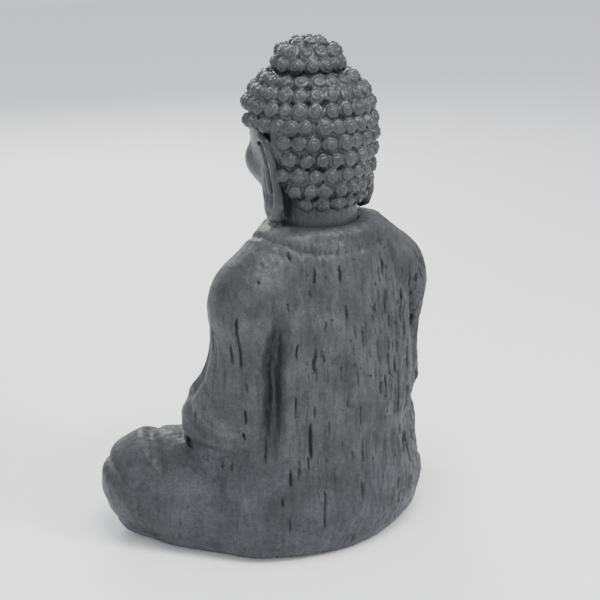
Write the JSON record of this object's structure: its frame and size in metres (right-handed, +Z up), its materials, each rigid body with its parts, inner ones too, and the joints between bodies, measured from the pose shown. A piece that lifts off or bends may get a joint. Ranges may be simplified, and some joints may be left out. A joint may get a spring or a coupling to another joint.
{
  "type": "seated buddha garden statue",
  "caption": "Hollow cast fibre-clay garden statue of a seated robed Buddha with snail-shell curls, legs crossed and hands in the lap, standing on a flat closed base.",
  "frame": {"origin": "middle of the flat standing face, on the left-right middle plane", "axes": "+Z up, -Y the way the face looks, +X towards the figure's own left hand"},
  "size_m": [0.5284, 0.3135, 0.7],
  "materials": {
    "fibre_clay": "dark charcoal cast fibre-clay, semi-matt, pitted, with weathered cracks in the robe",
    "mortar": "rough grey bonding mortar",
    "glass_fibre": "matt glass-fibre strand mat soaked with slurry",
    "steel": "dull galvanised steel"
  },
  "bodies": {
    "root": {"body_front_shell": "fibre_clay", "body_back_shell": "fibre_clay", "head_front_shell": "fibre_clay", "head_back_shell": "fibre_clay", "base_plate": "fibre_clay", "base_bond_bead": "mortar", "body_seam_strips": "glass_fibre", "head_seam_strip": "glass_fibre", "neck_dowel": "steel", "lower_dowel_plug": "mortar", "upper_dowel_plug": "mortar", "neck_mortar_bed": "mortar"}
  },
  "joints": []
}
